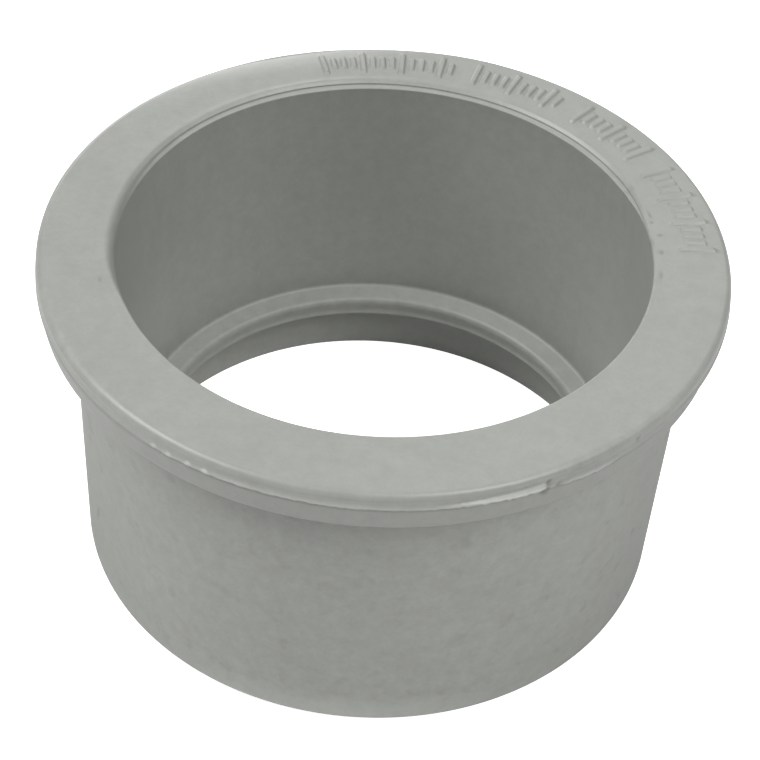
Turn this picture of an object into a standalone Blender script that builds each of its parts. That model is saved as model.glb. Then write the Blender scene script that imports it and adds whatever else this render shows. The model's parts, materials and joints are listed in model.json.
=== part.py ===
"""Reducing coupling for solvent-weld waste pipe: a spigot that glues into a 1 1/2 inch pipe fitting and a socket
that takes 1 1/4 inch pipe, moulded in one piece of grey rigid PVC.

The part stands on its spigot end. +Z is its axis, the origin is the centre of the spigot's end face, and the
socket opens upwards inside the flange. Everything is in metres.
"""

import math

import bpy

OBJECT_NAME = "reducing_coupling"

# Driving dimensions.
HEIGHT = 0.0252

# Flange: an upper half above the mould's parting line and a drafted lower half below it.
FLANGE_RADIUS = 0.02376
FLANGE_THICKNESS = 0.0031
FLANGE_TOP_ROUND = 0.00055
PARTING_DEPTH = 0.0012
PARTING_RIDGE_OUT = 0.00010
PARTING_RIDGE_HALF = 0.00014
LOWER_RIM_INSET = 0.00012
LOWER_RIM_DRAFT = 0.00028
LOWER_RIM_ROUND = 0.0002

# Spigot: the outside that slides into the larger fitting, with moulding draft down to its end.
SPIGOT_RADIUS_AT_FLANGE = 0.0214
SPIGOT_RADIUS_AT_END = 0.02083
SPIGOT_END_ROUND = 0.0008
UNDER_FLANGE_FILLET = 0.0005

# Socket: the tapered bore for the smaller pipe, with a shallow step at its mouth.
SOCKET_RADIUS_AT_MOUTH = 0.0184
SOCKET_RADIUS_AT_ROOT = 0.0176
SOCKET_ROOT_FILLET = 0.0003
MOUTH_STEP_WIDTH = 0.00032
MOUTH_STEP_DEPTH = 0.0004

# Pipe stop: the rib inside the bore that the smaller pipe's end rests on.
STOP_TOP = 0.0067
STOP_UNDERSIDE = 0.0050
STOP_RADIUS_AT_TOP = 0.01595
STOP_RADIUS_AT_BOTTOM = 0.0161
STOP_LIP_ROUND = 0.0004
STOP_CORNER = 0.00012

# Recess below the pipe stop, open at the spigot end.
RECESS_RADIUS_AT_STOP = 0.0182
RECESS_RADIUS_AT_END = 0.0184
RECESS_EDGE = 0.00005

TURN_STEPS = 96
SHARP_ANGLE = math.radians(32)

UPVC_GREY = (0.39, 0.41, 0.38, 1.0)
UPVC_ROUGHNESS = 0.42


def arc(centre_radius, centre_height, radius, start_deg, end_deg, segments):
    """Points of a circular arc in the (radius, height) plane, both ends included."""
    points = []
    for i in range(segments + 1):
        angle = math.radians(start_deg + (end_deg - start_deg) * i / segments)
        points.append((centre_radius + radius * math.cos(angle), centre_height + radius * math.sin(angle)))
    return points


def mouth_profile():
    """Rounded inner edge of the flange top, from the foot of the mouth step outwards."""
    step_radius = SOCKET_RADIUS_AT_MOUTH + MOUTH_STEP_WIDTH
    return arc(step_radius + MOUTH_STEP_DEPTH, HEIGHT - MOUTH_STEP_DEPTH, MOUTH_STEP_DEPTH, 180, 90, 4)


def flange_profile():
    """Outside of the flange, from its top edge to the fillet where the spigot starts."""
    parting = HEIGHT - PARTING_DEPTH
    underside = HEIGHT - FLANGE_THICKNESS
    lower_top = FLANGE_RADIUS - LOWER_RIM_INSET
    lower_bottom = lower_top - LOWER_RIM_DRAFT
    points = arc(FLANGE_RADIUS - FLANGE_TOP_ROUND, HEIGHT - FLANGE_TOP_ROUND, FLANGE_TOP_ROUND, 90, 0, 6)
    points.append((FLANGE_RADIUS, parting + PARTING_RIDGE_HALF))
    points.append((FLANGE_RADIUS + PARTING_RIDGE_OUT, parting))
    points.append((lower_top, parting - PARTING_RIDGE_HALF))
    points += arc(lower_bottom - LOWER_RIM_ROUND, underside + LOWER_RIM_ROUND, LOWER_RIM_ROUND, 0, -90, 2)
    fillet_radius = SPIGOT_RADIUS_AT_FLANGE + UNDER_FLANGE_FILLET
    points += arc(fillet_radius, underside - UNDER_FLANGE_FILLET, UNDER_FLANGE_FILLET, 90, 180, 3)
    return points


def end_profile():
    """Spigot end: the rounded outer edge, the flat end face and the chamfered inner edge."""
    points = arc(SPIGOT_RADIUS_AT_END - SPIGOT_END_ROUND, SPIGOT_END_ROUND, SPIGOT_END_ROUND, 0, -90, 4)
    points.append((RECESS_RADIUS_AT_END + RECESS_EDGE, 0.0))
    points.append((RECESS_RADIUS_AT_END, RECESS_EDGE))
    return points


def stop_profile():
    """Recess, pipe stop and socket wall, going up the inside."""
    points = [
        (RECESS_RADIUS_AT_STOP, STOP_UNDERSIDE),
        (STOP_RADIUS_AT_BOTTOM + STOP_CORNER, STOP_UNDERSIDE),
        (STOP_RADIUS_AT_BOTTOM, STOP_UNDERSIDE + STOP_CORNER),
    ]
    points += arc(STOP_RADIUS_AT_TOP + STOP_LIP_ROUND, STOP_TOP - STOP_LIP_ROUND, STOP_LIP_ROUND, 180, 90, 5)
    fillet_centre = SOCKET_RADIUS_AT_ROOT - SOCKET_ROOT_FILLET
    points += arc(fillet_centre, STOP_TOP + SOCKET_ROOT_FILLET, SOCKET_ROOT_FILLET, -90, 0, 4)
    points.append((SOCKET_RADIUS_AT_MOUTH, HEIGHT - MOUTH_STEP_DEPTH))
    return points


def upvc_material():
    """Satin light-grey rigid PVC."""
    material = bpy.data.materials.new("grey_upvc")
    material.use_nodes = True
    shader = material.node_tree.nodes["Principled BSDF"]
    shader.inputs["Base Color"].default_value = UPVC_GREY
    shader.inputs["Roughness"].default_value = UPVC_ROUGHNESS
    shader.inputs["Metallic"].default_value = 0.0
    material.diffuse_color = UPVC_GREY
    return material


def turned(name, profile, collection):
    """Turn a closed profile of (radius, height) points about +Z into a mesh object."""
    outline = bpy.data.meshes.new(name + "_profile")
    vertices = [(radius, 0.0, height) for radius, height in profile]
    edges = [(i, (i + 1) % len(profile)) for i in range(len(profile))]
    outline.from_pydata(vertices, edges, [])
    piece = bpy.data.objects.new(name, outline)
    collection.objects.link(piece)

    screw = piece.modifiers.new("turn", "SCREW")
    screw.axis = "Z"
    screw.angle = 2 * math.pi
    screw.steps = TURN_STEPS
    screw.render_steps = TURN_STEPS
    screw.merge_threshold = 0.00001
    screw.use_smooth_shade = True

    evaluated = piece.evaluated_get(bpy.context.evaluated_depsgraph_get())
    mesh = bpy.data.meshes.new_from_object(evaluated)
    piece.modifiers.clear()
    piece.data = mesh
    mesh.name = name
    mesh.shade_smooth()
    mesh.set_sharp_from_angle(angle=SHARP_ANGLE)
    bpy.data.meshes.remove(outline)
    return piece


def main():
    for old in list(bpy.data.objects):
        bpy.data.objects.remove(old, do_unlink=True)
    collection = bpy.data.collections.new(OBJECT_NAME)
    bpy.context.scene.collection.children.link(collection)

    profile = mouth_profile() + flange_profile() + end_profile() + stop_profile()
    body = turned("coupling_body", profile, collection)
    body.data.materials.append(upvc_material())


main()
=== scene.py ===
"""Looks of the reducing coupling: one moulding of grey rigid PVC, standing on a pale studio floor.

The moulding is a turned outline whose points move with the azimuth, so that the mouth can be a little off
centre, the parting line can carry ragged flash and the flange can carry raised marks. Lengths in the shape
functions are in millimetres and azimuths in degrees, counted from +X towards +Y. The camera stands on the -Y
side, so the near side is at -90 and the right side at 0.
"""
import json
import math

import bpy
import numpy as np
from mathutils import Matrix, Vector


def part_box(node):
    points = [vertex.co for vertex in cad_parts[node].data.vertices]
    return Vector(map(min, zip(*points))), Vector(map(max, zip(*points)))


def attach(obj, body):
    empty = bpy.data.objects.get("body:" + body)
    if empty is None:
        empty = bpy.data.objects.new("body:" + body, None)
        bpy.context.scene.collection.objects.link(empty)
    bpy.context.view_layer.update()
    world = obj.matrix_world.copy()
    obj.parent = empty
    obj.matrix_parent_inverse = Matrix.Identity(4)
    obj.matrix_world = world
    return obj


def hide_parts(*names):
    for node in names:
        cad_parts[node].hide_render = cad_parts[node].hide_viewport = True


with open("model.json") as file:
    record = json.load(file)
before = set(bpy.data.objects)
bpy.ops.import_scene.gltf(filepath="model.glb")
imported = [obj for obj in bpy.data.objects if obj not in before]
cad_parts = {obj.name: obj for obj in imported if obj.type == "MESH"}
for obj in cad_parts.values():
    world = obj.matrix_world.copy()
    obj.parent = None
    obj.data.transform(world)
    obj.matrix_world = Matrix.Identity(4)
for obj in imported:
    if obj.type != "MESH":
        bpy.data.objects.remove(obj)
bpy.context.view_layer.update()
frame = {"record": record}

MM = 0.001
NODE = "coupling_body"


def face_height(mount_name):
    """Height in millimetres of one of the record's flat faces."""
    for mount in frame["record"]["mounts"]:
        if mount["name"] == mount_name:
            return mount["pos_m"][2] / MM
    raise ValueError("the record has no mount named " + mount_name)


# Sizes that come from the frame.
LOW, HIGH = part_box(NODE)
TOP = (HIGH.z - LOW.z) / MM
WIDEST = (HIGH.x - LOW.x) / 2 / MM
UNDERSIDE = face_height("flange_underside")
STOP_TOP = face_height("pipe_stop")

# Socket mouth: a shallow step with a low swelling round it on the far side, which softens to a plain rounding
# on the left and to a small one on the right and the near side.
MOUTH_RADIUS = 18.4
MOUTH_OFF_CENTRE = 0.35
MOUTH_OVAL = 0.09
LEDGE_DEPTH = 0.36
LEDGE_WIDTH = 0.40
STEP_ROUND = 0.07
SHOULDER_DEPTH = 0.18
SHOULDER_WIDTH = 0.36
SHOULDER_SHARES = np.linspace(0.12, 1.0, 6)
BEAD_HEIGHT = 0.055
BEAD_AWAY = 0.56
BEAD_HALF_WIDTH = 0.36
BEAD_CENTRE = 110
BEAD_HALF = 46
SOFT_ROUND = 0.85
SOFT_CENTRE = 177
SOFT_HALF = 44
SMALL_ROUND = 0.20
SMALL_FROM = -165
SMALL_TO = 20
SMALL_EDGE = 20
SMALL_SET_BACK = 0.03
NEAR_SET_BACK = 0.19
NEAR_CENTRE = -102
NEAR_HALF = 75

# Flange top: nearly flat, with a faint waviness, curving down slightly towards the far outer edge. The rows
# between the mouth and FLAT_FROM are spread evenly, whatever the mouth's radius is there.
INNER_ROWS = 12
FLAT_FROM = 20.25
FLAT_TO = 22.95
FLAT_ROWS = 28
FALL_FROM = 20.8
FALL_CURVE = 0.044
FALL_CENTRE = 111
FALL_HALF = 40
SETTLED = 0.014
BROAD_WAVE = 0.008
FINE_WAVE = 0.006
WAVE_BEGINS_OVER = 0.5

# Raised marks on the flange top: groups of plain bars. A group is the azimuth of its first bar and the number
# of its bars.
MARK_GROUPS = ((104.2, 14), (73.6, 10), (50.0, 9), (28.0, 13))
MARK_PITCH = 1.95
LONG_BAR_EVERY = 4
SHORT_BAR_INSET = 0.55
MARKS_FROM = 2.0
MARKS_TO = 106.0
MARK_INNER = 20.35
MARK_OUTER = 22.85
MARK_HALF_WIDTH = 0.19
MARK_SLOPE = 0.10
MARK_HEIGHT = 0.19

# Dents beside the mouth: azimuth, radius, half length round the ring, half width. Stains on the mouth's edge:
# azimuth, half width in degrees, strength.
SCUFFS = (
    (23.2, 18.98, 0.26, 0.12),
    (21.0, 18.95, 0.20, 0.12),
    (16.1, 19.17, 0.34, 0.10),
    (13.6, 19.05, 0.16, 0.10),
    (3.9, 19.11, 0.22, 0.12),
    (38.5, 19.25, 0.25, 0.10),
    (195.0, 19.50, 0.22, 0.10),
    (9.4, 19.30, 0.14, 0.14),
    (27.0, 19.15, 0.40, 0.09),
    (-3.5, 18.95, 0.40, 0.09),
)
SCUFF_DEPTH = 0.07
SCUFF_GRIME = 12.0
SCUFF_GRIME_MOST = 0.8
MOUTH_STAINS = ((7.3, 2.2, 0.50), (25.6, 1.6, 0.35))

# Rim: rounded top edge, face, flash at the parting line, and the set-back lower half. The mould's halves
# don't meet squarely: the upper half, down to the flash, sits a little to the far right of the lower one.
# FULLNESS says where the upper half is fuller or slimmer: azimuth, half width in degrees, millimetres.
TOP_ROUND = 0.50
LEFT_ROUND_MORE = 0.14
LEFT_ROUND_CENTRE = -158
LEFT_ROUND_HALF = 48
FACE_RADIUS = WIDEST - 0.13
UPPER_SHIFT = (0.06, 0.145)
LOWER_SHIFT = (-0.105, -0.11)
FULLNESS = ((-108, 55, 0.12), (-50, 24, -0.10), (112, 45, 0.06))
FACE_FOOT = 0.68
FACE_FOOT_SHARE = 0.55
GROOVE = 0.02
GROOVE_MORE = 0.07
GROOVE_CENTRE = -54
GROOVE_HALF = 34
LIP_TOP = 0.84
LIP_BOTTOM = 1.20
LIP_UNDERCUT = 0.09
UNDERCUT_SHARE = 0.4
UNDERCUT_CLEARANCE = 0.03
UNDERCUT_RISE = 0.05
UNDERCUT_INSET = 0.09
LIP_SECTION = ((0.0, 0.0), (0.25, 0.25), (0.45, 0.6), (0.65, 0.9), (0.82, 1.0), (1.0, 0.95))
LOWER_RADIUS = WIDEST - 0.24
LOWER_INSET = 0.04
LOWER_BEGINS = 0.14
LOWER_DRAFT = 0.30
LOWER_ROUND = 0.20
LOWER_SHARES = (0.08, 0.16, 0.25, 0.35, 0.5, 0.65, 0.82)

# Flash on the near side of the parting line: the whole run, the wedge that grows along it up to the nick, the
# stretch behind the nick, and single burrs.
FLASH_FROM = -129.0
FLASH_TO = -40.0
RUN_FROM = -127
RUN_TO = -50
RUN_EDGE = 5
WEDGE_FROM = -84
WEDGE_GROWS_OVER = 18
WEDGE_TO = -61.9
WEDGE_BREAKS_OVER = 0.8
BEHIND_CENTRE = -54.5
BEHIND_HALF = 8
BURRS = (-125.2, -122.3, -118.7, -115.7)
BURR_HALF = 0.9
THICK_CENTRE = -112
THICK_HALF = 14
JAG_PITCH = 0.55

# Outward reach of the flash all round and in each stretch, and how much lower it hangs there.
REACH = 0.05
REACH_RUN = 0.05
REACH_THICK = 0.04
REACH_WEDGE = 0.16
REACH_BEHIND = 0.10
REACH_BURR = 0.05
REACH_JAG = 0.02
HANG_WEDGE = 0.06
HANG_BEHIND = 0.16
HANG_JAG = 0.05
HANG_BURR = 0.06

# Cuts in the rim's near face: azimuth, depth below the top, slant in degrees per millimetre of depth, half
# length round the rim, half height. They are the nick at the end of the wedge, its cracks, and a pit to the
# right of it.
RIM_CUTS = (
    (-61.9, 0.80, -0.6, 0.14, 0.22),
    (-62.3, 1.30, -0.6, 0.20, 0.26),
    (-62.8, 1.62, 1.2, 0.26, 0.16),
    (-60.3, 1.15, -1.6, 0.22, 0.12),
    (-44.5, 0.65, 0.0, 0.14, 0.22),
)
CUT_DEPTH = 0.13

# Spigot, its end and the recess.
FILLET = 0.5
SPIGOT_TOP_RADIUS = 21.40
SPIGOT_TOP_SHIFT = (0.145, -0.11)
SPIGOT_END_RADIUS = 20.83
SPIGOT_END_SHIFT = (-0.035, -0.09)
SPIGOT_ROUND = 0.8
SPIGOT_STRETCHES = 10
BROAD_WARP = 0.015
FINE_WARP = 0.008
RECESS_END_RADIUS = 18.4
RECESS_TOP_RADIUS = 18.2
RECESS_EDGE = 0.05
RECESS_ROUND = 0.15

# Pipe stop, whose ledge falls a little towards the middle, and socket wall. The bead is a thin line of flash:
# its section gives shares of its reach and heights above the stop's underside.
STOP_UNDERSIDE = STOP_TOP - 1.7
STOP_BOTTOM_RADIUS = 16.12
STOP_TOP_RADIUS = 15.95
STOP_FALL = 0.10
STOP_CORNER = 0.05
STOP_BEAD = 0.05
STOP_BEAD_SECTION = ((0.7, 0.08), (1.0, 0.13), (0.75, 0.20), (0.2, 0.27), (0.0, 0.34))
STOP_BEAD_UNEVEN = 0.35
STOP_BEAD_PITCH = 6.0
STOP_LIP_ROUND = 0.4
ROOT_RADIUS = 17.6
ROOT_FILLET = 0.30
WALL_SHARES = (0.03, 0.12, 0.25, 0.4, 0.55, 0.7, 0.85, 0.97, 1.0)
WALL_BEND = 1.15

# Mesh: even sectors round every ring. Those of the marks and of the flash are split into smaller steps.
SECTORS = 600
MARK_SPLIT = 4
FLASH_SPLIT = 3
JAG_SEED = 5
BEAD_SEED = 11


# ---------------------------------------------------------------- shape helpers

def smooth_step(value):
    """0 below 0, 1 above 1, and an even S between."""
    value = np.clip(value, 0.0, 1.0)
    return value * value * (3.0 - 2.0 * value)


def turn_from(az, centre):
    """Signed turn in degrees from a centre azimuth, between -180 and 180."""
    return (az - centre + 180.0) % 360.0 - 180.0


def swell(az, centre, half):
    """1 at a centre azimuth, falling smoothly to 0 at half degrees to either side."""
    return smooth_step(1.0 - np.abs(turn_from(az, centre)) / half)


def between(az, start, end, edge):
    """1 inside an arc of azimuth, falling to 0 over an edge at each end."""
    middle = (start + end) / 2
    half = (end - start) / 2
    return smooth_step((half - np.abs(turn_from(az, middle))) / edge + 0.5)


def ragged(az, pitch, seed):
    """Uneven values from -1 to 1 round the ring, with a knot at every pitch degrees."""
    count = round(360.0 / pitch)
    knots = np.random.default_rng(seed).uniform(-1.0, 1.0, count)
    return np.interp(az % 360.0, np.arange(count + 1) * 360.0 / count, np.append(knots, knots[0]))


def arc(centre, radius, start_deg, end_deg, segments):
    """Points of a circular arc in the (radius, height) plane, both ends included."""
    turns = np.radians(np.linspace(start_deg, end_deg, segments + 1))
    return [(centre[0] + radius * math.cos(t), centre[1] + radius * math.sin(t)) for t in turns]


def line(start, end, segments):
    """Points evenly along a straight stretch, both ends included."""
    shares = np.linspace(0.0, 1.0, segments + 1)
    return [(start[0] + (end[0] - start[0]) * s, start[1] + (end[1] - start[1]) * s) for s in shares]


def round_distance(az, centre, radius):
    """Signed distance in millimetres along the ring from a centre azimuth."""
    return turn_from(az, centre) * math.pi / 180 * radius


def outward(az, offset):
    """How far a sideways offset (x, y) moves a ring's outline outwards at an azimuth."""
    turn = np.radians(az)
    return offset[0] * np.cos(turn) + offset[1] * np.sin(turn)


# ---------------------------------------------------------------- mouth and flange top

def mouth_radius(az):
    """Radius of the socket wall at the mouth: slightly oval, and off centre towards the far side."""
    lean = np.sin(np.radians(az))
    return MOUTH_RADIUS + MOUTH_OFF_CENTRE * lean + MOUTH_OVAL * lean ** 2


def mouth_bead(az, radius):
    """Height of a low swelling round the far side of the mouth, just outside its step."""
    away = radius - mouth_radius(az) - BEAD_AWAY
    return BEAD_HEIGHT * np.exp(-(away / BEAD_HALF_WIDTH) ** 2) * swell(az, BEAD_CENTRE, BEAD_HALF)


def stepped_mouth():
    """Ledge, riser and shoulder of the mouth, as (distance from the wall, depth below the top)."""
    points = arc((STEP_ROUND, -LEDGE_DEPTH - STEP_ROUND), STEP_ROUND, 180, 90, 3)
    points += arc((LEDGE_WIDTH - STEP_ROUND, -LEDGE_DEPTH + STEP_ROUND), STEP_ROUND, 270, 360, 3)
    points += arc((LEDGE_WIDTH + STEP_ROUND, -SHOULDER_DEPTH - STEP_ROUND), STEP_ROUND, 180, 110, 3)
    for share in SHOULDER_SHARES:
        away = LEDGE_WIDTH + STEP_ROUND + share * (SHOULDER_WIDTH - STEP_ROUND)
        points.append((away, -SHOULDER_DEPTH * (1.0 - share) ** 2))
    return np.array(points)


def round_mouth(radius, count):
    """Plain rounding of the mouth, with the same number of points as the stepped one."""
    turns = np.radians(np.linspace(180, 90, count))
    away = radius * (1.0 + np.cos(turns))
    depth = radius * (np.sin(turns) - 1.0)
    return np.stack([away, depth], axis=1)


def mouth_rows(az):
    """Mouth, from the top of the socket wall out to the flange top."""
    stepped = stepped_mouth()
    soft = round_mouth(SOFT_ROUND, len(stepped))
    small = round_mouth(SMALL_ROUND, len(stepped))
    set_back = SMALL_SET_BACK + NEAR_SET_BACK * swell(az, NEAR_CENTRE, NEAR_HALF)
    share_soft = swell(az, SOFT_CENTRE, SOFT_HALF)
    share_small = between(az, SMALL_FROM, SMALL_TO, SMALL_EDGE)
    rows = []
    for step_point, soft_point, small_point in zip(stepped, soft, small):
        away = step_point[0] + (soft_point[0] - step_point[0]) * share_soft
        depth = step_point[1] + (soft_point[1] - step_point[1]) * share_soft
        away = away + (small_point[0] + set_back - away) * share_small
        depth = depth + (small_point[1] - depth) * share_small
        radius = mouth_radius(az) + away
        rows.append((radius, TOP + depth + mouth_bead(az, radius)))
    return rows


def mark_bars():
    """Azimuth, inner and outer radius of each raised bar."""
    bars = []
    for start, count in MARK_GROUPS:
        for i in range(count):
            inset = 0.0 if i % LONG_BAR_EVERY == 0 else SHORT_BAR_INSET
            bars.append((start - MARK_PITCH * i, MARK_INNER + inset, MARK_OUTER - inset))
    return bars


def marks_height(az, radius):
    """Height of the raised bars over the flange top."""
    height = np.zeros(np.broadcast(az, radius).shape)
    for centre, inner, outer in mark_bars():
        sideways = np.abs(round_distance(az, centre, radius))
        from_middle = np.abs(radius - (inner + outer) / 2)
        across = smooth_step((MARK_HALF_WIDTH - sideways) / MARK_SLOPE + 0.5)
        along = smooth_step(((outer - inner) / 2 - from_middle) / MARK_SLOPE + 0.5)
        height = np.maximum(height, MARK_HEIGHT * across * along)
    return height


def top_fall(az, radius):
    """Level of the flange top: it falls away at its far outer edge, and is faintly wavy all round."""
    fall = FALL_CURVE * np.maximum(radius - FALL_FROM, 0.0) ** 2 * swell(az, FALL_CENTRE, FALL_HALF)
    wave = BROAD_WAVE * np.sin(np.radians(3 * az + 40))
    wave = wave + FINE_WAVE * np.sin(np.radians(7 * az) + 1.3 * radius)
    return wave - fall - SETTLED


def scuffs(az, radius):
    """Depth of the small dents in the flange top beside the mouth."""
    depth = np.zeros(np.broadcast(az, radius).shape)
    for centre, at, half_along, half_across in SCUFFS:
        along = round_distance(az, centre, at) / half_along
        across = (radius - at) / half_across
        depth += SCUFF_DEPTH * np.exp(-along ** 2 - across ** 2)
    return depth


def flat_rows(az):
    """Flange top from the mouth to the outer rounding."""
    inner = mouth_rows(az)[-1][0]
    shares = np.linspace(0.0, 1.0, INNER_ROWS + 2)[1:-1]
    spread = [inner + (FLAT_FROM - inner) * share for share in shares]
    rows = []
    for radius in spread + list(np.linspace(FLAT_FROM, FLAT_TO, FLAT_ROWS)):
        begun = smooth_step((radius - inner) / WAVE_BEGINS_OVER)
        height = TOP + top_fall(az, radius) * begun + mouth_bead(az, radius)
        rows.append((radius, height + marks_height(az, radius) - scuffs(az, radius)))
    return rows


# ---------------------------------------------------------------- rim

def upper_radius(az):
    """Radius of the rim's upper face: shifted, and fuller in some places than in others."""
    full = sum(amount * swell(az, centre, half) for centre, half, amount in FULLNESS)
    return FACE_RADIUS + outward(az, UPPER_SHIFT) + full


def top_edge_rows(az):
    """Rounding between the flange top and the rim's face, a little larger on the left."""
    rounding = TOP_ROUND + LEFT_ROUND_MORE * swell(az, LEFT_ROUND_CENTRE, LEFT_ROUND_HALF)
    rows = []
    for out, up in arc((-1.0, -1.0), 1.0, 90, 0, 8):
        radius = upper_radius(az) + out * rounding
        fade = smooth_step(up + 1.0)
        rows.append((radius, TOP + up * rounding + top_fall(az, radius) * fade))
    return rows


def flash_runs(az):
    """Shares of the flash's near run, its wedge up to the nick, the stretch behind that, and its burrs."""
    run = between(az, RUN_FROM, RUN_TO, RUN_EDGE)
    grown = smooth_step(turn_from(az, WEDGE_FROM) / WEDGE_GROWS_OVER)
    unbroken = smooth_step(turn_from(WEDGE_TO, az) / WEDGE_BREAKS_OVER)
    behind = swell(az, BEHIND_CENTRE, BEHIND_HALF)
    burrs = sum(swell(az, at, BURR_HALF) for at in BURRS)
    return run, grown * unbroken, behind, burrs


def flash(az):
    """Outward reach of the parting-line flash and the depth of its lower edge below the top."""
    run, wedge, behind, burrs = flash_runs(az)
    jagged = ragged(az, JAG_PITCH, JAG_SEED)
    reach = REACH + REACH_RUN * run + REACH_THICK * swell(az, THICK_CENTRE, THICK_HALF) + REACH_WEDGE * wedge
    reach = reach + REACH_BEHIND * behind + REACH_BURR * burrs + REACH_JAG * jagged * run
    hang = HANG_WEDGE * wedge + HANG_BEHIND * behind + HANG_JAG * jagged * (run + wedge) + HANG_BURR * burrs
    bottom = LIP_BOTTOM - (upper_radius(az) + reach - FACE_RADIUS) + hang
    return reach, bottom


def rim_rows(az):
    """Rim below the top edge: groove, flash, undercut and the drafted lower half."""
    reach, bottom = flash(az)
    groove = GROOVE + GROOVE_MORE * swell(az, GROOVE_CENTRE, GROOVE_HALF)
    face = upper_radius(az)
    lower = LOWER_RADIUS + outward(az, LOWER_SHIFT)
    rows = [(face - groove * FACE_FOOT_SHARE, TOP - FACE_FOOT)]
    for share, out in LIP_SECTION:
        radius = face - groove + (groove + reach) * out
        rows.append((radius, TOP - LIP_TOP - (bottom - LIP_TOP) * share))
    under = TOP - bottom - LIP_UNDERCUT
    undercut = np.minimum(face + reach * UNDERCUT_SHARE, lower - UNDERCUT_CLEARANCE)
    rows.append((undercut, under + UNDERCUT_RISE))
    rows.append((lower - UNDERCUT_INSET, under))
    foot = UNDERSIDE + LOWER_ROUND
    for share in (0.0, *LOWER_SHARES):
        height = (under - LOWER_BEGINS) * (1 - share) + foot * share
        rows.append((lower - LOWER_INSET - (LOWER_DRAFT - LOWER_INSET) * share, height))
    for away, height in arc((-LOWER_DRAFT - LOWER_ROUND, foot), LOWER_ROUND, 0, -90, 4):
        rows.append((lower + away, height))
    return rows


def rim_cuts(az, depth):
    """Strength, from 0 to 1, of the nick, cracks and pit in the rim's near face."""
    total = np.zeros(np.broadcast(az, depth).shape)
    for centre, at, slant, half_along, half_down in RIM_CUTS:
        along = round_distance(az, centre + slant * (depth - at), FACE_RADIUS) / half_along
        down = (depth - at) / half_down
        total += np.exp(-along ** 2 - down ** 2)
    return np.minimum(total, 1.0)


# ---------------------------------------------------------------- spigot, recess and socket

def spigot_rows(az):
    """Underside of the flange, its fillet, the spigot's outside and the rounded end."""
    top_out = outward(az, SPIGOT_TOP_SHIFT)
    end_out = outward(az, SPIGOT_END_SHIFT)
    rows = [(SPIGOT_TOP_RADIUS + FILLET + 0.3 + top_out, UNDERSIDE)]
    for radius, height in arc((SPIGOT_TOP_RADIUS + FILLET, UNDERSIDE - FILLET), FILLET, 90, 180, 5):
        rows.append((radius + top_out, height))
    start = (SPIGOT_TOP_RADIUS, UNDERSIDE - FILLET)
    end = (SPIGOT_END_RADIUS, SPIGOT_ROUND)
    warp = BROAD_WARP * np.sin(np.radians(2 * az + 30)) + FINE_WARP * np.sin(np.radians(5 * az))
    between_ends = line(start, end, SPIGOT_STRETCHES)[1:-1]
    shares = np.linspace(0, 1, SPIGOT_STRETCHES + 1)[1:-1]
    for share, (radius, height) in zip(shares, between_ends):
        rows.append((radius + warp + top_out * (1 - share) + end_out * share, height))
    for radius, height in arc((SPIGOT_END_RADIUS - SPIGOT_ROUND, SPIGOT_ROUND), SPIGOT_ROUND, 0, -90, 7):
        rows.append((radius + end_out, height))
    return rows


def recess_rows(az):
    """End face, recess wall and the rounding below the pipe stop."""
    rows = [(RECESS_END_RADIUS + RECESS_EDGE + 0.15, 0.0)]
    rows += arc((RECESS_END_RADIUS + RECESS_EDGE, RECESS_EDGE), RECESS_EDGE, 270, 180, 3)
    wall_top = (RECESS_TOP_RADIUS, STOP_UNDERSIDE - RECESS_ROUND)
    rows += line((RECESS_END_RADIUS, RECESS_EDGE), wall_top, 4)[1:]
    rows += arc((RECESS_TOP_RADIUS - RECESS_ROUND, STOP_UNDERSIDE - RECESS_ROUND), RECESS_ROUND, 0, 90, 3)[1:]
    return rows


def stop_rows(az):
    """Pipe stop: inner face leaning outwards to a thin bead of flash at its foot, lip, ledge and fillet."""
    foot = STOP_BOTTOM_RADIUS
    rows = [(foot + 0.5, STOP_UNDERSIDE)]
    rows += arc((foot + STOP_CORNER, STOP_UNDERSIDE + STOP_CORNER), STOP_CORNER, 270, 200, 2)
    uneven = 1.0 + STOP_BEAD_UNEVEN * ragged(az, STOP_BEAD_PITCH, BEAD_SEED)
    for out, up in STOP_BEAD_SECTION:
        rows.append((foot - STOP_BEAD * out * uneven, STOP_UNDERSIDE + up))
    lip = (STOP_TOP_RADIUS + STOP_LIP_ROUND, STOP_TOP - STOP_FALL - STOP_LIP_ROUND)
    rows += line((foot + 0.02, STOP_UNDERSIDE + 0.45), (STOP_TOP_RADIUS + 0.01, lip[1] - 0.06), 3)
    rows += arc(lip, STOP_LIP_ROUND, 180, 93, 7)
    rows += arc((ROOT_RADIUS - ROOT_FILLET, STOP_TOP + ROOT_FILLET), ROOT_FILLET, -87, 0, 5)
    return rows


def wall_rows(az):
    """Socket wall, from its root up to the mouth, which is a little off centre."""
    base = STOP_TOP + ROOT_FILLET
    soft = swell(az, SOFT_CENTRE, SOFT_HALF)
    end = TOP - LEDGE_DEPTH - 2 * STEP_ROUND - soft * (SOFT_ROUND - LEDGE_DEPTH)
    rows = []
    for share in WALL_SHARES:
        radius = ROOT_RADIUS + (mouth_radius(az) - ROOT_RADIUS) * share ** WALL_BEND
        rows.append((radius, base + (end - base) * share))
    return rows
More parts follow.
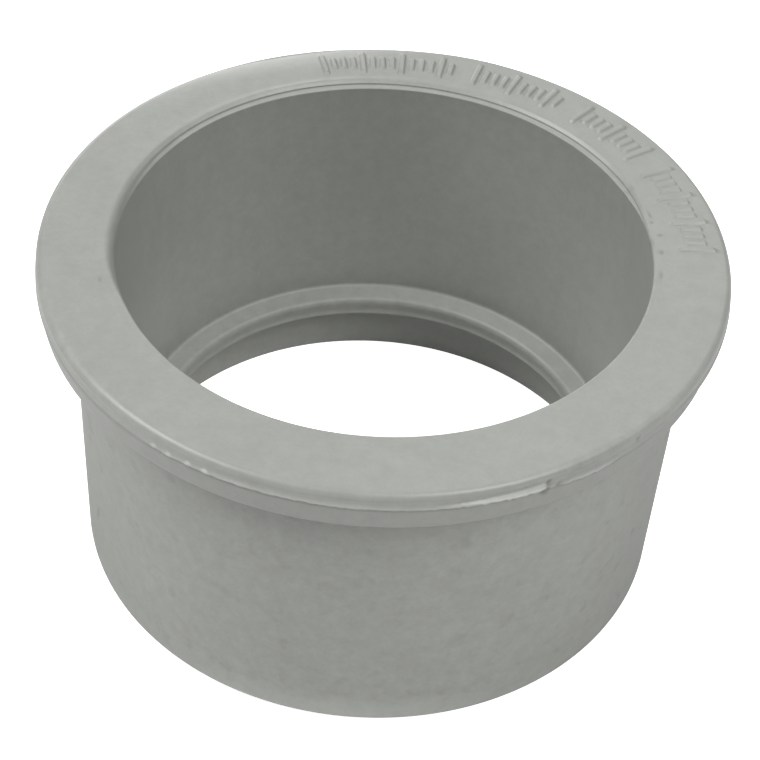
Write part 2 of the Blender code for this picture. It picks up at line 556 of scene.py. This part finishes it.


# ---------------------------------------------------------------- paleness with painted light and shade, dullness and dirt

# Paleness is a share of the colour, and most of it is painted light and shade. Torn flash is whiter than
# moulded plastic and also carries a painted highlight; the rim's face, the pipe stop's ledge and the spigot's
# near foot carry painted light; the rim's lower half, the right side of the rim, the spigot's sides and the
# top of the spigot under the flange carry painted shade.
LIP_PALE_AND_HIGHLIGHT = 0.02
LIP_PALE_AND_HIGHLIGHT_RUN = 0.15
LIP_PALE_AND_HIGHLIGHT_WEDGE = 0.14
LIP_PALE_AND_HIGHLIGHT_BEHIND = 0.14
LIP_PALE_AND_HIGHLIGHT_BURR = 0.22
STRIP = 0.16
STRIP_WEDGE = 0.26
STRIP_BEHIND = 0.12
STRIP_BURR = 0.12
FACE_PAINTED_LIGHT = 0.02
FACE_PAINTED_LIGHT_NEAR = 0.08
LOWER_PAINTED_SHADE = 0.13
LOWER_PAINTED_SHADE_LESS_NEAR = 0.06
RIGHT_PAINTED_SHADE = 0.20
STOP_PAINTED_LIGHT = 0.20
SPIGOT_FOOT = 3.0
FOOT_PAINTED_LIGHT = 0.06
FOOT_PAINTED_LIGHT_NEAR = 0.31
CORNER_PAINTED_SHADE = 0.06
SPIGOT_SIDE_PAINTED_SHADE = ((-18, 36, 0.10), (-166, 34, 0.07))

# Arcs of those differences: centre azimuth and half width.
NEAR_FACE = (-97, 32)
NEAR_LOWER = (-95, 40)
NEAR_FOOT = (-90, 48)
RIGHT_SIDE = (-17, 34)

# Dullness: 1 is the matt spigot, 0 would be fully polished.
POLISHED = 0.2
DULL_EDGE_CENTRES = ((-47, 19), (-152, 24))


def rim_paleness_and_painted_light(az, depth):
    """Paleness of the rim at a depth below the top: whiter torn flash with a painted highlight on it, painted
    light on the face, painted shade on the lower half and on the right side.
    """
    run, wedge, behind, burrs = flash_runs(az)
    bottom = flash(az)[1]
    strip = STRIP + STRIP_WEDGE * wedge + STRIP_BEHIND * behind + STRIP_BURR * burrs
    on_lip = smooth_step((depth - bottom + strip) / 0.08) * smooth_step((bottom + 0.03 - depth) / 0.03)
    # The strip along the flash is whiter where torn and also carries a painted highlight, strongest on the
    # burrs and the wedge.
    torn_pale_and_highlight = LIP_PALE_AND_HIGHLIGHT_RUN * run + LIP_PALE_AND_HIGHLIGHT_WEDGE * wedge + LIP_PALE_AND_HIGHLIGHT_BEHIND * behind
    torn_pale_and_highlight = LIP_PALE_AND_HIGHLIGHT + torn_pale_and_highlight + LIP_PALE_AND_HIGHLIGHT_BURR * np.minimum(burrs, 1.0)
    below = smooth_step((depth - bottom) / 0.05)
    # Painted light on the rim's face above the flash, most on the near side.
    face = (FACE_PAINTED_LIGHT + FACE_PAINTED_LIGHT_NEAR * swell(az, *NEAR_FACE)) * (1 - below)
    # Painted shade on the rim's lower half below the flash, a little less on the near side.
    lower = (LOWER_PAINTED_SHADE - LOWER_PAINTED_SHADE_LESS_NEAR * swell(az, *NEAR_LOWER)) * below
    # Painted shade on the right side of the rim, at all its depths.
    return face + torn_pale_and_highlight * on_lip - lower - RIGHT_PAINTED_SHADE * swell(az, *RIGHT_SIDE)


def stop_painted_light(radius, height):
    """Painted light on the pipe stop's rounded lip and ledge, up to its fillet."""
    on_top = smooth_step((height - STOP_TOP + 0.30) / 0.2)
    return STOP_PAINTED_LIGHT * on_top * smooth_step((ROOT_RADIUS - 0.05 - radius) / 0.1)


def spigot_painted_light_and_shade(az, height):
    """Painted light and shade on the spigot: painted light towards its near foot, painted shade under the
    flange and on both sides.
    """
    # Painted light from the floor towards the spigot's foot, most on the near side.
    foot = smooth_step((SPIGOT_FOOT - height) / SPIGOT_FOOT)
    foot = foot * (FOOT_PAINTED_LIGHT + FOOT_PAINTED_LIGHT_NEAR * swell(az, *NEAR_FOOT))
    # Painted shade on the spigot just under the flange.
    corner = CORNER_PAINTED_SHADE * smooth_step((height - UNDERSIDE + 1.5) / 1.1)
    # Painted shade on the spigot's right and left sides.
    sides = sum(amount * swell(az, centre, half) for centre, half, amount in SPIGOT_SIDE_PAINTED_SHADE)
    return foot - corner - sides


def surface_paleness_and_painted_light(rows_of, az, radius, height):
    """How much paler or darker a surface is than the rest: whiter torn flash, and painted light and shade."""
    if rows_of is rim_rows:
        return rim_paleness_and_painted_light(az, TOP - height)
    if rows_of is stop_rows:
        return stop_painted_light(radius, height)
    if rows_of is spigot_rows:
        return spigot_painted_light_and_shade(az, height)
    return np.zeros(az.shape)


def surface_wear(rows_of, az):
    """How dull a surface is: the spigot and pipe stop all over, the top edge in parts, the rest hardly."""
    if rows_of in (spigot_rows, stop_rows):
        return np.ones(az.shape)
    if rows_of is top_edge_rows:
        dull = np.maximum(*(swell(az, centre, half) for centre, half in DULL_EDGE_CENTRES))
        return POLISHED + (1.0 - POLISHED) * dull
    return np.full(az.shape, POLISHED)


def surface_grime(rows_of, az, radius, height):
    """Dirt caught in the rim's cuts, in the dents beside the mouth and on the mouth's edge."""
    if rows_of is rim_rows:
        return rim_cuts(az, TOP - height)
    if rows_of is flat_rows:
        return np.minimum(SCUFF_GRIME * scuffs(az, radius), SCUFF_GRIME_MOST)
    if rows_of is mouth_rows:
        return sum(strength * swell(az, centre, half) for centre, half, strength in MOUTH_STAINS)
    return np.zeros(az.shape)


# ---------------------------------------------------------------- the mesh

def ring_azimuths(fine_from=0.0, fine_to=0.0, split=1):
    """Azimuths round one ring: even sectors, those of an arc split into smaller steps."""
    width = 360.0 / SECTORS
    values = []
    for k in range(SECTORS):
        inside = (k * width - fine_from) % 360.0 < fine_to - fine_from
        parts = split if inside else 1
        values += [k * width + width * i / parts for i in range(parts)]
    return np.array(values)


def sector_starts(azimuths):
    """Index of the first point of each sector in a ring, with the point count at the end."""
    width = 360.0 / SECTORS
    sector = np.floor(azimuths / width + 1e-6).astype(int)
    return np.append(np.searchsorted(sector, np.arange(SECTORS)), len(azimuths))


def sector_points(ring, k):
    """Indices of a ring's points from the start of sector k to the start of the next one."""
    return [ring["base"] + i % ring["count"] for i in range(ring["starts"][k], ring["starts"][k + 1] + 1)]


def bridge(faces, first, second):
    """Faces between two neighbouring rings, sector by sector; unequal sectors get one many-sided face."""
    for k in range(SECTORS):
        a = sector_points(first, k)
        b = sector_points(second, k)
        if len(a) == len(b):
            for i in range(len(a) - 1):
                faces.append((a[i], b[i], b[i + 1], a[i + 1]))
        else:
            faces.append((a[0], *b, *reversed(a[1:])))


def moulding_mesh():
    """Closed mesh of the whole moulding, with grime, wear and paleness values at each point; the paleness is
    mostly painted light and shade.
    """
    plain = ring_azimuths()
    marked = ring_azimuths(MARKS_FROM, MARKS_TO, MARK_SPLIT)
    flashed = ring_azimuths(FLASH_FROM % 360, FLASH_TO % 360, FLASH_SPLIT)
    zones = (
        (mouth_rows, plain),
        (flat_rows, marked),
        (top_edge_rows, plain),
        (rim_rows, flashed),
        (spigot_rows, plain),
        (recess_rows, plain),
        (stop_rows, plain),
        (wall_rows, plain),
    )
    rings = []
    points = []
    values = {"grime": [], "painted_light_and_pale_flash": [], "wear": []}
    for rows_of, azimuths in zones:
        starts = sector_starts(azimuths)
        turns = np.radians(azimuths)
        for radius, height in rows_of(azimuths):
            radius = np.broadcast_to(radius, azimuths.shape).astype(float)
            height = np.broadcast_to(height, azimuths.shape)
            grime = surface_grime(rows_of, azimuths, radius, height)
            values["grime"].append(grime)
            values["painted_light_and_pale_flash"].append(surface_paleness_and_painted_light(rows_of, azimuths, radius, height))
            values["wear"].append(surface_wear(rows_of, azimuths))
            if rows_of is rim_rows:
                radius = radius - CUT_DEPTH * grime
            rings.append({"base": sum(map(len, points)), "count": len(azimuths), "starts": starts})
            points.append(MM * np.stack([radius * np.cos(turns), radius * np.sin(turns), height], axis=1))
    faces = []
    for first, second in zip(rings, rings[1:] + rings[:1]):
        bridge(faces, first, second)
    mesh = bpy.data.meshes.new("moulded_coupling")
    mesh.from_pydata(np.concatenate(points).tolist(), [], faces)
    for name, rows in values.items():
        mesh.attributes.new(name, "FLOAT", "POINT").data.foreach_set("value", np.concatenate(rows))
    mesh.validate()
    mesh.shade_smooth()
    return mesh


# ---------------------------------------------------------------- materials

# The noise scales are in cells per metre, and DRAW_STRETCH turns a noise into streaks along the axis.
UPVC_COLOUR = (0.279, 0.2875, 0.267, 1.0)
UPVC_IOR = 1.52
GRIME_COLOUR = (0.10, 0.10, 0.09, 1.0)
GRIME_COVER = 0.55
BROAD_SCALE = 110
MOTTLE_SCALE = 900
SMUDGE_SCALE = 620
DENT_SCALE = 900
GRAIN_SCALE = 5200
DRAW_STRETCH = (1.0, 1.0, 0.12)
NOISE_MIDDLE = (0.3, 0.7)
BROAD_SHADE = 0.018
MOTTLE_SHADE = 0.1
STREAK_SHADE = 0.014
SMUDGE_SHADE = 0.06
GRAIN_HEIGHT = 0.000012
DENT_HEIGHT = 0.00002
BUMP_STRENGTH = 0.5

FLOOR_HALF = 1.5
FLOOR_COLOUR = (0.8, 0.8, 0.8, 1.0)
FLOOR_ROUGHNESS = 0.9
FLOOR_GLOW_INSIDE = 0.05
FLOOR_GLOW_OUTSIDE = 0.0
GLOW_FADES = (0.0185, 0.0225)
FLOOR_WHITENING = 0.85
WHITE = (1.0, 1.0, 1.0, 1.0)


class Nodes:
    """Short calls for making and linking the nodes of one material."""

    def __init__(self, name):
        self.material = bpy.data.materials.new(name)
        self.material.use_nodes = True
        self.tree = self.material.node_tree
        self.tree.nodes.clear()

    def add(self, kind, **values):
        """A new node with the given properties set."""
        node = self.tree.nodes.new(kind)
        for name, value in values.items():
            setattr(node, name, value)
        return node

    def feed(self, socket, value):
        """Links an output to a socket, or sets the socket's constant."""
        if isinstance(value, bpy.types.NodeSocket):
            self.tree.links.new(value, socket)
        else:
            socket.default_value = value

    def finish(self, surface):
        """Links a shader to the material's output."""
        output = self.add("ShaderNodeOutputMaterial")
        self.feed(output.inputs["Surface"], surface)
        return self.material

    def place(self):
        """Point in the object's own coordinates."""
        return self.add("ShaderNodeTexCoord").outputs["Object"]

    def value(self, name):
        """Value of one of the mesh's point attributes."""
        return self.add("ShaderNodeAttribute", attribute_name=name).outputs["Fac"]

    def noise(self, vector, scale, detail, roughness=0.55, distortion=0.0):
        """Noise between 0 and 1, mostly near its middle."""
        node = self.add("ShaderNodeTexNoise")
        self.feed(node.inputs["Vector"], vector)
        self.feed(node.inputs["Scale"], scale)
        self.feed(node.inputs["Detail"], detail)
        self.feed(node.inputs["Roughness"], roughness)
        self.feed(node.inputs["Distortion"], distortion)
        return node.outputs["Fac"]

    def span(self, value, source, target, smooth=False):
        """A value carried from one range (low, high) to another, held at the ends."""
        node = self.add("ShaderNodeMapRange", interpolation_type="SMOOTHSTEP" if smooth else "LINEAR")
        self.feed(node.inputs["Value"], value)
        self.feed(node.inputs["From Min"], source[0])
        self.feed(node.inputs["From Max"], source[1])
        self.feed(node.inputs["To Min"], target[0])
        self.feed(node.inputs["To Max"], target[1])
        return node.outputs["Result"]

    def math(self, operation, first, second):
        """Result of a Math node with two inputs."""
        node = self.add("ShaderNodeMath", operation=operation)
        self.feed(node.inputs[0], first)
        self.feed(node.inputs[1], second)
        return node.outputs["Value"]

    def mix(self, factor, first, second, blend="MIX"):
        """Two colours mixed by a factor."""
        node = self.add("ShaderNodeMix", data_type="RGBA", blend_type=blend)
        self.feed(node.inputs["Factor"], factor)
        colours = [socket for socket in node.inputs if socket.type == "RGBA"]
        self.feed(colours[0], first)
        self.feed(colours[1], second)
        return [socket for socket in node.outputs if socket.type == "RGBA"][0]

    def bump(self, height, distance, normal=None):
        """Normal shaped by a height field, on top of another normal where one is given."""
        node = self.add("ShaderNodeBump")
        self.feed(node.inputs["Height"], height)
        self.feed(node.inputs["Strength"], BUMP_STRENGTH)
        self.feed(node.inputs["Distance"], distance)
        if normal is not None:
            self.feed(node.inputs["Normal"], normal)
        return node.outputs["Normal"]


def upvc_material():
    """Satin grey rigid PVC: faint mottling and draw streaks, small smudges, dirt where the mesh has grime,
    and the mesh's painted light and shade.
    """
    n = Nodes("grey_upvc_moulded")
    place = n.place()
    stretch = n.add("ShaderNodeMapping")
    n.feed(stretch.inputs["Vector"], place)
    n.feed(stretch.inputs["Scale"], DRAW_STRETCH)
    wear = n.value("wear")
    grime = n.value("grime")
    mottling = n.noise(place, MOTTLE_SCALE, 4, 0.8)

    broad = n.span(n.noise(place, BROAD_SCALE, 2), NOISE_MIDDLE, (-BROAD_SHADE, BROAD_SHADE))
    mottle = n.span(mottling, NOISE_MIDDLE, (-MOTTLE_SHADE, MOTTLE_SHADE))
    mottle = n.math("MULTIPLY", mottle, n.span(wear, (0.0, 1.0), (0.55, 0.95)))
    streaks = n.noise(stretch.outputs["Vector"], MOTTLE_SCALE, 3)
    streaks = n.span(streaks, NOISE_MIDDLE, (-STREAK_SHADE, STREAK_SHADE))
    smudges = n.span(n.noise(place, SMUDGE_SCALE, 2, 0.5, 0.2), (0.60, 0.74), (0.0, 1.0), smooth=True)
    smudges = n.math("MULTIPLY", smudges, wear)

    shade = n.math("ADD", n.math("ADD", broad, mottle), streaks)
    shade = n.math("SUBTRACT", shade, n.math("MULTIPLY", smudges, SMUDGE_SHADE))
    # The mesh's paleness, mostly painted light and shade, is added to the colour's brightness here.
    brightness = n.math("ADD", n.math("ADD", shade, n.value("painted_light_and_pale_flash")), 1.0)
    grey = n.add("ShaderNodeCombineColor")
    for channel in ("Red", "Green", "Blue"):
        n.feed(grey.inputs[channel], brightness)
    colour = n.mix(1.0, UPVC_COLOUR, grey.outputs["Color"], "MULTIPLY")
    colour = n.mix(n.math("MULTIPLY", grime, GRIME_COVER), colour, GRIME_COLOUR)

    rough = n.span(mottling, NOISE_MIDDLE, (0.30, 0.38))
    for value, share in ((smudges, 0.08), (grime, 0.2), (wear, 0.18)):
        rough = n.math("ADD", rough, n.math("MULTIPLY", value, share))

    fine = n.bump(n.noise(place, GRAIN_SCALE, 3), GRAIN_HEIGHT)
    wide = n.bump(n.noise(place, DENT_SCALE, 2), DENT_HEIGHT, fine)

    shader = n.add("ShaderNodeBsdfPrincipled")
    n.feed(shader.inputs["Base Color"], colour)
    n.feed(shader.inputs["Roughness"], rough)
    n.feed(shader.inputs["Normal"], wide)
    shader.inputs["IOR"].default_value = UPVC_IOR
    return n.finish(shader.outputs["BSDF"])


def floor_material():
    """Pale studio floor, which glows a little inside the ring's footprint and is clear from below."""
    n = Nodes("studio_floor")
    sheet = n.add("ShaderNodeBsdfPrincipled")
    n.feed(sheet.inputs["Base Color"], FLOOR_COLOUR)
    n.feed(sheet.inputs["Roughness"], FLOOR_ROUGHNESS)
    n.feed(sheet.inputs["Emission Color"], WHITE)
    from_axis = n.add("ShaderNodeVectorMath", operation="LENGTH")
    n.feed(from_axis.inputs[0], n.place())
    glow = n.span(from_axis.outputs["Value"], GLOW_FADES, (FLOOR_GLOW_INSIDE, FLOOR_GLOW_OUTSIDE))
    seen = n.add("ShaderNodeLightPath").outputs["Is Camera Ray"]
    whitening = n.math("MULTIPLY", seen, FLOOR_WHITENING)
    n.feed(sheet.inputs["Emission Strength"], n.math("ADD", glow, whitening))
    clear = n.add("ShaderNodeBsdfTransparent")
    below = n.add("ShaderNodeNewGeometry").outputs["Backfacing"]
    mixed = n.add("ShaderNodeMixShader")
    n.feed(mixed.inputs[0], below)
    n.feed(mixed.inputs[1], sheet.outputs["BSDF"])
    n.feed(mixed.inputs[2], clear.outputs["BSDF"])
    return n.finish(mixed.outputs["Shader"])


# ---------------------------------------------------------------- stage

WORLD_LIGHT = 0.01

CAMERA_DISTANCE = 0.1720
CAMERA_ELEVATION = 42.93
CAMERA_AZIMUTH = -90.14
CAMERA_AIM = Vector((0.00027, 0.00029, 0.0))
CAMERA_ROLL = 3.52
CAMERA_LENS = 113.2
CAMERA_SENSOR = 36.0
CAMERA_NEAR = 0.01
CAMERA_FAR = 10.0

# Round softboxes, all of one size and at one distance, at four strengths in watts: a key from the left and
# one from the near right, low lights from the left and from behind, fills all round, and three faint ones.
SOFTBOX_DISTANCE = 1.2
SOFTBOX_SIZE = 0.64
KEY = 7.8
LOW_LIGHT = 3.5
FILL = 1.6
FAINT = 0.9
SOFTBOXES = (
    # name, azimuth, elevation, watts
    ("left", 180, 52, KEY),
    ("front_right", 315, 52, KEY),
    ("left_low", 180, 30, LOW_LIGHT),
    ("back_low", 105, 10, LOW_LIGHT),
    ("left_front", 200, 52, FILL),
    ("right", 0, 52, FILL),
    ("right_low", 0, 30, FILL),
    ("back_high", 80, 58, FILL),
    ("front_top", 250, 68, FAINT),
    ("front_low", 270, 12, FAINT),
    ("back", 75, 30, FAINT),
)


def direction(azimuth, elevation):
    """Unit vector towards an azimuth and an elevation."""
    a = math.radians(azimuth)
    e = math.radians(elevation)
    return Vector((math.cos(a) * math.cos(e), math.sin(a) * math.cos(e), math.sin(e)))


def aim(place, target, roll=0.0):
    """Matrix of a camera or lamp at a place, looking at a target, turned by a roll in degrees."""
    turn = (target - place).to_track_quat("-Z", "Y").to_matrix().to_4x4()
    return Matrix.Translation(place) @ turn @ Matrix.Rotation(math.radians(roll), 4, "Z")


def add_object(name, data):
    """Object with the given data, linked to the scene."""
    thing = bpy.data.objects.new(name, data)
    bpy.context.scene.collection.objects.link(thing)
    return thing


def add_camera(centre):
    data = bpy.data.cameras.new("camera")
    data.lens = CAMERA_LENS
    data.sensor_width = CAMERA_SENSOR
    data.clip_start = CAMERA_NEAR
    data.clip_end = CAMERA_FAR
    camera = add_object("camera", data)
    target = centre + CAMERA_AIM
    place = target + CAMERA_DISTANCE * direction(CAMERA_AZIMUTH, CAMERA_ELEVATION)
    camera.matrix_world = aim(place, target, CAMERA_ROLL)
    bpy.context.scene.camera = camera


def add_softbox(name, azimuth, elevation, watts, centre):
    data = bpy.data.lights.new(name, "AREA")
    data.shape = "DISK"
    data.size = SOFTBOX_SIZE
    data.energy = watts
    lamp = add_object(name, data)
    lamp.matrix_world = aim(centre + SOFTBOX_DISTANCE * direction(azimuth, elevation), centre)


def add_floor():
    corners = [(-1, -1), (1, -1), (1, 1), (-1, 1)]
    mesh = bpy.data.meshes.new("studio_floor")
    mesh.from_pydata([(x * FLOOR_HALF, y * FLOOR_HALF, LOW.z) for x, y in corners], [], [(0, 1, 2, 3)])
    mesh.materials.append(floor_material())
    add_object("studio_floor", mesh)


def add_world():
    world = bpy.data.worlds.new("studio")
    world.use_nodes = True
    background = world.node_tree.nodes["Background"]
    background.inputs["Color"].default_value = WHITE
    background.inputs["Strength"].default_value = WORLD_LIGHT
    bpy.context.scene.world = world


def add_coupling():
    mesh = moulding_mesh()
    mesh.materials.append(upvc_material())
    coupling = add_object("moulded_coupling", mesh)
    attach(coupling, "root")
    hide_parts(NODE)


def main():
    centre = (LOW + HIGH) / 2
    add_coupling()
    add_floor()
    add_world()
    add_camera(centre)
    for softbox in SOFTBOXES:
        add_softbox(*softbox, centre)
    bpy.context.scene.view_settings.view_transform = "Standard"


main()
